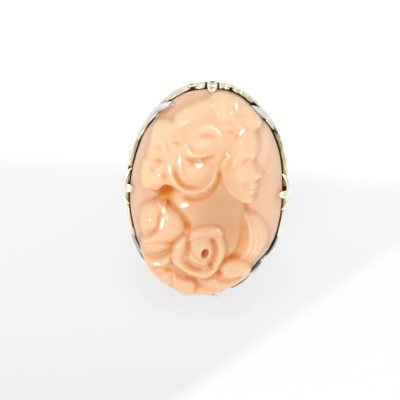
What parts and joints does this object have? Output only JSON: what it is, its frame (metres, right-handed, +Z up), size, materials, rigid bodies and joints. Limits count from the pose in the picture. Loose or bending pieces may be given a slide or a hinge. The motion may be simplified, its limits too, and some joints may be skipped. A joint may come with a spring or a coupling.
{
  "type": "coral cameo ring",
  "caption": "Finger ring with an oval carved coral cameo of a bust with flowers, held by fleur prongs in a pierced gold basket on a tapering shank.",
  "frame": {"origin": "on the surface that the ring lies on, under the middle of its box", "axes": "+Z up from the surface; +X across the finger, to the right of a viewer who faces the cameo; the cameo faces -Y and up; the finger axis leans back from +Z towards +Y"},
  "size_m": [0.0202, 0.0297, 0.0247],
  "materials": {
    "coral": "polished carved salmon coral, slightly translucent, duller and deeper orange in the recesses",
    "white_gold": "polished white gold with dark patina in the recesses",
    "yellow_gold": "polished pale yellow gold, worn on its high points, dark in its grooves"
  },
  "bodies": {
    "root": {"cameo": "coral", "setting": "white_gold"}
  },
  "joints": []
}
